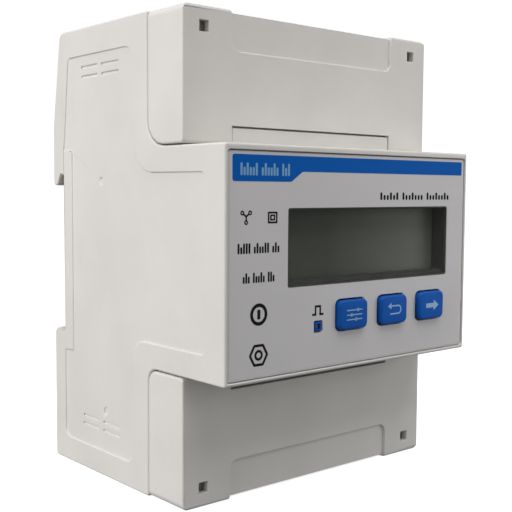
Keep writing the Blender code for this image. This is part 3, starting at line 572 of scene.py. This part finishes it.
def finish_cad_nodes(finishes):
    """Give every CAD node the finish of its slot, and the moulded and folded ones soft edges."""
    softened = {
        "main_housing": HOUSING_EDGE,
        "rear_cover": HOUSING_EDGE,
        "top_cover": COVER_EDGE,
        "bottom_cover": COVER_EDGE,
        "rail_latch": LATCH_EDGE,
        "face_plate": PLATE_EDGE,
        "upper_terminal_block": BLOCK_EDGE,
        "lower_terminal_block": BLOCK_EDGE,
    }
    softened.update({name: CAGE_EDGE for name in frame["nodes"] if "_cage_" in name})
    slots = {part["node"]: part["material_slot"] for part in frame["record"]["subparts"]}
    for name, obj in frame["nodes"].items():
        obj.data.materials.clear()
        obj.data.materials.append(finishes[slots[name]])
        for face in obj.data.polygons:
            face.material_index = 0
        if name not in softened:
            continue
        weld = obj.modifiers.new("weld", "WELD")
        weld.merge_threshold = 2e-6
        edges = obj.modifiers.new("edges", "BEVEL")
        edges.width = softened[name] * MM
        edges.segments = 2
        edges.limit_method = "ANGLE"
        edges.angle_limit = math.radians(32)
        edges.use_clamp_overlap = False
        edges.harden_normals = False
        even = obj.modifiers.new("even", "WEIGHTED_NORMAL")
        even.keep_sharp = False
        even.weight = 70


# ---------------------------------------------------------------- face plate prints

def plate_front():
    """The face plate's front, in millimetres along Y."""
    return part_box("face_plate")[0].y / MM


def add_film(finishes):
    """The thin printed film on the face plate, with its own windows."""
    low, high = (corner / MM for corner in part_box("face_plate"))
    middle_x, middle_z = (low.x + high.x) / 2, (low.z + high.z) / 2
    half_x = (high.x - low.x) / 2 - FILM_INSET
    half_z = (high.z - low.z) / 2 - FILM_INSET
    outlines = [moved(rounded_box(half_x, half_z, FILM_CORNER), middle_x, middle_z)]
    openings = [("display_frame", FILM_OVER_FRAME - FRAME_FLANGE)]
    openings += [(f"key_{name}", -KEY_COLLAR + FILM_MARGIN) for name in ("set", "back", "next")]
    openings += [("pulse_light_bezel", FILM_MARGIN)]
    for node, grow in openings:
        low, high = (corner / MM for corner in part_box(node))
        wide, tall = (high.x - low.x) / 2 + grow, (high.z - low.z) / 2 + grow
        radius = 0.5 if node.startswith("display") else min(wide, tall) * 0.36
        shape = rounded_box(wide, tall, radius)
        outlines.append(moved(shape, (low.x + high.x) / 2, (low.z + high.z) / 2))
    front = plate_front()
    data = flat_mesh("face_film", [outlines], front - FILM_PROUD, front + FILM_SUNK)
    film = new_piece("face_film", data, finishes["label_print"], "housing")
    return front - FILM_PROUD


def tally(x_low, x_high, z_low, z_high, pattern, stroke_wide):
    """Upright strokes of two heights that stand for a line of print."""
    pitch = (x_high - x_low - stroke_wide) / (len(pattern) - 1)
    shapes = []
    for index, mark in enumerate(pattern):
        if mark == " ":
            continue
        tall = (z_high - z_low) * (1.0 if mark == "I" else SHORT_STROKE)
        x = x_low + stroke_wide / 2 + pitch * index
        shape = rounded_box(stroke_wide / 2, tall / 2, stroke_wide * 0.4, 2)
        shapes.append([moved(shape, x, z_low + tall / 2)])
    return shapes


def add_prints(finishes, front):
    """The band, the generic marks and the symbols printed on the film."""
    band = round_corners(
        [
            (BAND_LEFT, BAND_TOP, 0.5),
            (BAND_LEFT, BAND_TAB_LOW, 0.5),
            (BAND_TAB_RIGHT, BAND_TAB_LOW, 0.7),
            (BAND_TAB_RIGHT + 3.0, BAND_LOW, 0.9),
            (BAND_RIGHT, BAND_LOW, 0.2),
            (BAND_RIGHT, BAND_TOP, 0.3),
        ]
    )
    prints = {"label_band": ([[band]], "band_ink", 0.0)}

    prints["band_marks"] = (tally(*BAND_TALLY), "band_mark_ink", PRINT_PROUD)
    prints["title_marks"] = (tally(*TITLE_TALLY), "black_ink", 0.0)
    lines = [shape for row in RATING_TALLIES for shape in tally(*row)]
    prints["rating_marks"] = (lines, "black_ink", 0.0)

    phases = []
    for x, z in PHASE_ENDS:
        phases.append([ring(x, z, 0.46), ring(x, z, 0.17)])
        aim = Vector((x, z)) - Vector(PHASE_NODE)
        tip = Vector(PHASE_NODE) + aim * (1 - 0.4 / aim.length)
        phases.append([stroke([PHASE_NODE, tuple(tip)], 0.34)])
    prints["phase_symbol"] = (phases, "black_ink", 0.0)

    squares = []
    for reaches in CLASS_SQUARES:
        outlines = [rounded_box(reach, reach * 0.92, 0.12, 3) for reach in reaches]
        squares.append([moved(outline, *CLASS_CENTRE) for outline in outlines])
    prints["class_symbol"] = (squares, "black_ink", 0.0)

    low, high = PULSE_ZS
    first, rise, fall, last = PULSE_XS
    wave = [(first, low), (rise, low), (rise, high), (fall, high), (fall, low), (last, low)]
    prints["pulse_symbol"] = ([[stroke(wave, 0.44)]], "black_ink", 0.0)

    x, z = ROUND_BADGE
    badge = [
        [ring(x, z, 2.15, 48), ring(x, z, 1.45, 48)],
        [moved(rounded_box(0.38, 0.95, 0.25, 4), x, z)],
    ]
    prints["round_badge"] = (badge, "black_ink", 0.0)
    x, z = SIX_SIDED_BADGE
    sides = []
    for reach, soft in ((2.45, 0.4), (1.85, 0.25)):
        turns = [math.radians(60 * side) for side in range(6)]
        corners = [(x + reach * math.cos(turn), z + reach * math.sin(turn), soft) for turn in turns]
        sides.append(round_corners(corners))
    badge = [sides, [ring(x, z, 1.05), ring(x, z, 0.55)]]
    prints["six_sided_badge"] = (badge, "black_ink", 0.0)

    for name, (shapes, ink, lift) in prints.items():
        data = flat_mesh(name, shapes, front - PRINT_PROUD - lift, front + PRINT_SUNK)
        new_piece(name, data, finishes[ink], "housing")


def add_display_frame(finishes):
    """A dark moulded frame round the window, in place of the plain CAD one; its wider dark border below is
    painted shade, standing where the recess's shadow falls below the glass.
    """
    low, high = (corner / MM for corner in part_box("display_frame"))
    left, right = low.x + FRAME_FLANGE, high.x - FRAME_FLANGE
    bottom, top = low.z + FRAME_FLANGE, high.z - FRAME_FLANGE
    flange_y = high.y - FRAME_STEP
    lip_front = plate_front() + 0.02
    lip_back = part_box("display_window")[1].y / MM + 0.05

    def outline(insets, radius):
        """A rounded rectangle inside the window opening by its left, right, bottom and top insets."""
        x_low, x_high = left + insets[0], right - insets[1]
        z_low, z_high = bottom + insets[2], top - insets[3]
        shape = rounded_box((x_high - x_low) / 2, (z_high - z_low) / 2, radius, 4)
        return moved(shape, (x_low + x_high) / 2, (z_low + z_high) / 2)

    # the wide bottom border puts dark frame plastic where the recess's shade falls below the glass: painted
    # shade
    opening = outline(FRAME_BORDERS_AND_PAINTED_SHADE, 0.3)
    flange = outline((-FRAME_FLANGE,) * 4, 0.5)
    neck = outline((FRAME_NECK,) * 4, 0.4)
    lip = outline((FRAME_LIP,) * 4, 0.35)

    def frame_shape(work):
        sections = [
            (opening, high.y), (flange, high.y), (flange, flange_y), (neck, flange_y),
            (neck, lip_front), (lip, lip_front), (lip, lip_back), (opening, lip_back),
            (opening, high.y),
        ]
        loft(work, sections, False, False)

    made = mesh_from(frame_shape, "window_frame")
    piece = new_piece("window_frame", made, finishes["frame_plastic"], "housing")
    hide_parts("display_frame")


# ---------------------------------------------------------------- keys and pulse light

def key_sections(x, z, half_wide, half_tall, front, collar):
    """A key from the back of its collar to its soft, slightly crowned front."""
    collar_front, collar_back, grow = collar
    brow = front + KEY_CROWN_DEEP
    sections = []

    def section(inset, y):
        shape = rounded_box(half_wide - inset, half_tall - inset, KEY_CORNER - inset * 0.6, 8)
        sections.append((moved(shape, x, z), y))

    section(-grow + COLLAR_CHAMFER, collar_back)
    section(-grow, collar_back - COLLAR_CHAMFER)
    section(-grow, collar_front + COLLAR_CHAMFER)
    section(-grow + COLLAR_CHAMFER, collar_front)
    section(0.0, collar_front - 0.01)
    section(KEY_DRAFT, brow + KEY_EDGE)
    steps = 7
    for step in range(1, steps + 1):
        angle = math.radians(90 * step / steps)
        inset = KEY_DRAFT + KEY_EDGE * (1 - math.cos(angle))
        section(inset, brow + KEY_EDGE * (1 - math.sin(angle)))
    for inset, drop in KEY_CROWN:
        section(inset, front + drop)
    return sections


def key_legends(x, z):
    """A generic symbol for each key: sliders, a return arrow and a forward arrow."""
    sliders = []
    for rise, knob in ((0.98, 1.0), (0.0, -0.9), (-0.98, 0.5)):
        sliders.append([moved(rounded_box(2.3, 0.11, 0.1, 2), x, z + rise)])
        sliders.append([moved(rounded_box(0.28, 0.34, 0.15, 3), x + knob, z + rise)])
    bend = [math.radians(-90 + 180 * step / 10) for step in range(11)]
    hook = [(x - 1.5, z - 0.85)]
    hook += [(x + 1.05 + 0.85 * math.cos(turn), z + 0.85 * math.sin(turn)) for turn in bend]
    hook += [(x - 1.3, z + 0.85)]
    head = [(x - 2.3, z + 0.85), (x - 1.2, z + 0.15), (x - 1.2, z + 1.55)]
    back = [[stroke(hook, 0.3)], [head]]
    arrow = [
        (x - 2.1, z - 0.5), (x + 0.5, z - 0.5), (x + 0.5, z - 1.2), (x + 2.2, z),
        (x + 0.5, z + 1.2), (x + 0.5, z + 0.5), (x - 2.1, z + 0.5),
    ]
    return {"set": sliders, "back": back, "next": [[arrow]]}


def add_keys(finishes):
    """A moulded key in place of each plain CAD key, its stem and its printed symbol."""
    for name in ("set", "back", "next"):
        node = f"key_{name}"
        low, high = (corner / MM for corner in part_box(node))
        x, z = (low.x + high.x) / 2, (low.z + high.z) / 2
        half_wide = (high.x - low.x) / 2 - KEY_COLLAR
        half_tall = (high.z - low.z) / 2 - KEY_COLLAR
        collar = (low.y + COLLAR_FRONT, low.y + COLLAR_BACK, KEY_COLLAR)
        sections = key_sections(x, z, half_wide, half_tall, low.y, collar)

        def cap(work, sections=sections):
            loft(work, sections)

        made = mesh_from(cap, f"{node}_cap", 50)
        key = new_piece(f"{node}_cap", made, finishes["key_plastic"], node)
        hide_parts(node)
        tip, root = high.y, collar[1] - 0.1
        profile = [(0, tip), (1.6, tip), (1.85, tip - 0.2), (STEM_R, tip - 0.3)]
        profile += [(STEM_R, root), (0, root)]

        def stem(work, profile=profile, x=x, z=z):
            turned(work, profile, x, z, 32)

        made = mesh_from(stem, f"{node}_stem")
        stem_piece = new_piece(f"{node}_stem", made, finishes["key_plastic"], node)
        shapes = key_legends(x, z)[name]
        legend = flat_mesh(f"{node}_symbol", shapes, low.y - 0.012, low.y + 0.06)
        new_piece(f"{node}_symbol", legend, finishes["legend_ink"], node)


def add_pulse_light(finishes):
    """A softly rounded bezel and a light guide with a domed tip, in place of the plain CAD ones."""
    low, high = (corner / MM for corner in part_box("pulse_light_bezel"))
    x, z = (low.x + high.x) / 2, (low.z + high.z) / 2
    half = (high.x - low.x) / 2
    guide_low, guide_high = (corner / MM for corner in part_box("pulse_light_guide"))
    hole = (guide_high.x - guide_low.x) / 2 + 0.1
    soft = 0.22

    def bezel(work):
        sections = []
        for outer, y in (
            (half - soft, high.y), (half, high.y - soft), (half, low.y + soft),
            (half - 0.07, low.y + 0.07), (half - soft, low.y), (hole + 0.12, low.y),
            (hole + 0.03, low.y + 0.05), (hole, low.y + 0.2), (hole, high.y),
            (half - soft, high.y),
        ):
            shape = rounded_box(outer, outer, outer * 0.42, 6)
            sections.append((moved(shape, x, z), y))
        loft(work, sections, False, False)

    made = mesh_from(bezel, "pulse_bezel")
    ring_piece = new_piece("pulse_bezel", made, finishes["key_plastic"], "housing")
    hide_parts("pulse_light_bezel")

    def guide(work):
        wide = hole - 0.08
        sections = []
        for inset, y in (
            (0.0, guide_high.y), (0.0, guide_low.y + 0.5), (0.05, guide_low.y + 0.38),
            (0.25, guide_low.y + 0.3),
        ):
            shape = rounded_box(wide - inset, wide - inset, (wide - inset) * 0.5, 6)
            sections.append((moved(shape, x, z), y))
        loft(work, sections)

    made = mesh_from(guide, "pulse_guide")
    core = new_piece("pulse_guide", made, finishes["amber_plastic"], "housing")
    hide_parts("pulse_light_guide")


# ---------------------------------------------------------------- screws and spring

def cross_cut(target, x, y_low, y_high, z, reach, thin):
    """Cut a tapered cross recess into a screw's head, and return the finished mesh."""
    def cutter(work):
        for wide, tall in ((reach, thin), (thin, reach)):
            mouth = moved(rounded_box(wide, tall, thin * 0.5, 3), x, z)
            foot = moved(rounded_box(wide * 0.62, tall * 0.8, thin * 0.3, 3), x, z)
            loft(work, [(mouth, y_low), (foot, y_high)])

    tool = bpy.data.objects.new("cross_tool", mesh_from(cutter, "cross_tool"))
    bpy.context.scene.collection.objects.link(tool)
    recess = target.modifiers.new("recess", "BOOLEAN")
    recess.object = tool
    recess.solver = "EXACT"
    recess.use_self = True
    graph = bpy.context.evaluated_depsgraph_get()
    finished = bpy.data.meshes.new_from_object(target.evaluated_get(graph))
    bpy.data.objects.remove(tool)
    return finished


def screw_mesh(name, head_r, head_y, shank_r, shank_y, recess_y):
    """A turned pan head screw about the Y axis, its head's outer face at the first of head_y."""
    out, seat = head_y
    face = math.copysign(1, seat - out)
    crown = 0.25 * face
    profile = [(0, out), (head_r * 0.55, out + crown * 0.12), (head_r * 0.85, out + crown * 0.6)]
    profile += [(head_r * 0.97, out + crown * 1.4), (head_r, out + crown * 2.4)]
    profile += [(head_r, seat - 0.12 * face), (head_r - 0.12, seat), (shank_r, seat)]
    turns = int(abs(shank_y - seat) / THREAD_PITCH)
    for turn in range(1, turns):
        y = seat + face * THREAD_PITCH * turn
        profile += [(shank_r, y - 0.2 * face), (shank_r * THREAD_ROOT, y)]
        profile += [(shank_r, y + 0.2 * face)]
    profile += [(shank_r * 0.72, shank_y), (0, shank_y)]

    def body(work):
        turned(work, profile, 0, 0, 40)

    blank = bpy.data.objects.new(name, mesh_from(body, name, 30))
    bpy.context.scene.collection.objects.link(blank)
    finished = cross_cut(blank, 0, out - face * 0.6, recess_y, 0, head_r * 0.72, head_r * 0.15)
    bpy.data.objects.remove(blank)
    finished.set_sharp_from_angle(angle=math.radians(30))
    return finished


def add_screws(finishes):
    """Turned screws in place of the CAD screws, all of one kind sharing a mesh."""
    low, high = (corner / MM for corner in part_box("lower_screw_1"))
    head_r = (high.x - low.x) / 2
    head, shank_r, recess = TERMINAL_SCREW
    ends = (low.y, low.y + head)
    terminal = screw_mesh("terminal_screw", head_r, ends, shank_r, high.y, low.y + recess)
    low, high = (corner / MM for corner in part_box("case_screw_1"))
    head_r = (high.x - low.x) / 2
    head, shank_r, recess = CASE_SCREW
    ends = (high.y, high.y - head)
    case = screw_mesh("case_screw", head_r, ends, shank_r, low.y, high.y - recess)
    for node, obj in frame["nodes"].items():
        if "_screw_" not in node:
            continue
        low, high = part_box(node)
        body = obj["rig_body"]
        data = case if node.startswith("case") else terminal
        screw = bpy.data.objects.new(f"{node}_turned", data)
        bpy.context.scene.collection.objects.link(screw)
        screw.location = ((low.x + high.x) / 2, 0, (low.z + high.z) / 2)
        if not data.materials:
            data.materials.append(finishes["zinc_steel"])
        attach(screw, body)
        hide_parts(node)


def add_latch_spring(finishes):
    """A closely turned coil between the latch guide's post and the latch."""
    low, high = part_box("latch_spring")
    wire_r = 0.25 * MM
    coil_r = (high.x - low.x) / 2 - wire_r
    middle = (low + high) / 2
    turns, per_turn, sides = 9, 32, 10
    start, end = low.z + wire_r, high.z - wire_r

    def coil(work):
        rows = []
        count = turns * per_turn
        for index in range(count + 1):
            share = index / count
            rest = min(1.0, max(0.0, (share * turns - 0.8) / (turns - 1.6)))
            angle = 2 * math.pi * index / per_turn
            out = Vector((math.cos(angle), math.sin(angle), 0))
            height = start + (end - start) * (0.06 * share + 0.94 * rest)
            centre = Vector((middle.x, middle.y, height))
            centre += out * coil_r
            row = []
            for side in range(sides):
                roll = 2 * math.pi * side / sides
                around = out * math.cos(roll) + Vector((0, 0, math.sin(roll)))
                row.append(work.verts.new(centre + around * wire_r))
            rows.append(row)
        for lower, upper in zip(rows, rows[1:]):
            for side in range(sides):
                after = (side + 1) % sides
                work.faces.new((lower[side], lower[after], upper[after], upper[side]))
        work.faces.new(rows[0])
        work.faces.new(rows[-1][::-1])

    made = mesh_from(coil, "latch_coil", 60)
    spring = new_piece("latch_coil", made, finishes["zinc_steel"], "housing")
    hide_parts("latch_spring")
    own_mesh(spring)


# ---------------------------------------------------------------- studio

def add_camera():
    """The photograph's viewpoint."""
    yaw, pitch, roll = (math.radians(turn) for turn in (CAMERA_YAW, CAMERA_PITCH, CAMERA_ROLL))
    level = math.cos(pitch)
    ahead = Vector((math.sin(yaw) * level, math.cos(yaw) * level, math.sin(pitch)))
    right = Vector((math.cos(yaw), -math.sin(yaw), 0))
    up = right.cross(ahead)
    right, up = (
        right * math.cos(roll) + up * math.sin(roll),
        up * math.cos(roll) - right * math.sin(roll),
    )
    data = bpy.data.cameras.new("camera")
    data.lens = CAMERA_LENS
    data.sensor_width = CAMERA_SENSOR
    data.clip_start, data.clip_end = 0.01, 20
    camera = bpy.data.objects.new("camera", data)
    bpy.context.scene.collection.objects.link(camera)
    turn = Matrix((right, up, -ahead)).transposed().to_4x4()
    camera.matrix_world = Matrix.Translation(CAMERA_PLACE) @ turn
    bpy.context.scene.camera = camera


def add_softbox(name, place, aim, wide, tall, power, color=(1, 1, 1)):
    """A rectangular lamp turned towards a point."""
    data = bpy.data.lights.new(name, "AREA")
    data.shape = "RECTANGLE"
    data.size, data.size_y = wide, tall
    data.energy = power
    data.color = color
    lamp = bpy.data.objects.new(name, data)
    bpy.context.scene.collection.objects.link(lamp)
    lamp.location = place
    lamp.rotation_mode = "QUATERNION"
    lamp.rotation_quaternion = (Vector(aim) - Vector(place)).to_track_quat("-Z", "Y")
    lamp.visible_camera = False
    return lamp


def add_world():
    """Soft light from all round, brighter from above and dim from below."""
    world = bpy.data.worlds.new("studio")
    bpy.context.scene.world = world
    world.use_nodes = True
    tree = world.node_tree
    spot = add(tree, "TexCoord").outputs["Generated"]
    height = add(tree, "SeparateXYZ", {"Vector": spot}).outputs["Z"]
    lift = remap(tree, height, 0.0, 1.0, -0.5, 0.9)
    sky = mix(tree, lift, SKY_BELOW, SKY_ABOVE)
    background = tree.nodes["Background"]
    wire(tree, sky, background.inputs["Color"])
    background.inputs["Strength"].default_value = SKY_STRENGTH


def add_floor():
    """A pale floor that curves up into a pale backdrop all round."""
    flat = FLOOR_RADIUS - FLOOR_BEND
    profile = [(0.0, 0.0), (0.4, 0.0), (flat, 0.0)]
    steps = 12
    for step in range(1, steps + 1):
        angle = math.radians(90 * step / steps)
        out = flat + FLOOR_BEND * math.sin(angle)
        profile.append((out, FLOOR_BEND - FLOOR_BEND * math.cos(angle)))
    profile.append((FLOOR_RADIUS, FLOOR_RISE))
    sides = 96

    def bowl(work):
        centre = work.verts.new((0, 0, 0))
        rows = []
        for out, z in profile[1:]:
            rows.append([work.verts.new((u, v, z)) for u, v in ring(0, 0, out, sides)])
        for side in range(sides):
            after = (side + 1) % sides
            work.faces.new((centre, rows[0][side], rows[0][after]))
            for lower, upper in zip(rows, rows[1:]):
                work.faces.new((lower[side], upper[side], upper[after], lower[after]))

    mat, tree, shader, place = new_material("pale_floor")
    cloud = noise(tree, place, 300.0, 2.0)
    tint = mix(tree, cloud, (0.80, 0.80, 0.80), (0.84, 0.84, 0.84))
    wire(tree, tint, shader.inputs["Base Color"])
    shader.inputs["Roughness"].default_value = 0.9
    shader.inputs["Emission Color"].default_value = (1, 1, 1, 1)
    shader.inputs["Emission Strength"].default_value = FLOOR_GLOW
    data = mesh_from(bowl, "pale_floor", 60)
    data.materials.append(mat)
    floor = bpy.data.objects.new("pale_floor", data)
    bpy.context.scene.collection.objects.link(floor)
    floor.visible_diffuse = False
    floor.visible_glossy = False
    floor.visible_shadow = False


def add_studio():
    """The camera, the surroundings, and three lamps with places and sizes in metres and power in watts."""
    add_camera()
    add_world()
    add_floor()
    middle = (cad_box[0] + cad_box[1]) / 2
    add_softbox("side_softbox", (-0.75, 0.12, 0.30), middle, 0.7, 0.7, 5.5, (1.0, 0.99, 0.97))
    add_softbox("top_softbox", (0.0, -0.22, 0.50), middle, 0.5, 0.35, 1.25, (1.0, 0.985, 0.96))
    fill = add_softbox("front_fill", (0.20, -0.20, 0.06), middle, 0.15, 0.15, 0.19)
    fill.visible_glossy = False


def main():
    """Dress the frame, then light it."""
    finishes = make_materials()
    finish_cad_nodes(finishes)
    film_front = add_film(finishes)
    add_prints(finishes, film_front)
    add_display_frame(finishes)
    add_keys(finishes)
    add_pulse_light(finishes)
    add_screws(finishes)
    add_latch_spring(finishes)
    add_studio()
    bpy.context.scene.view_settings.view_transform = "Standard"


main()
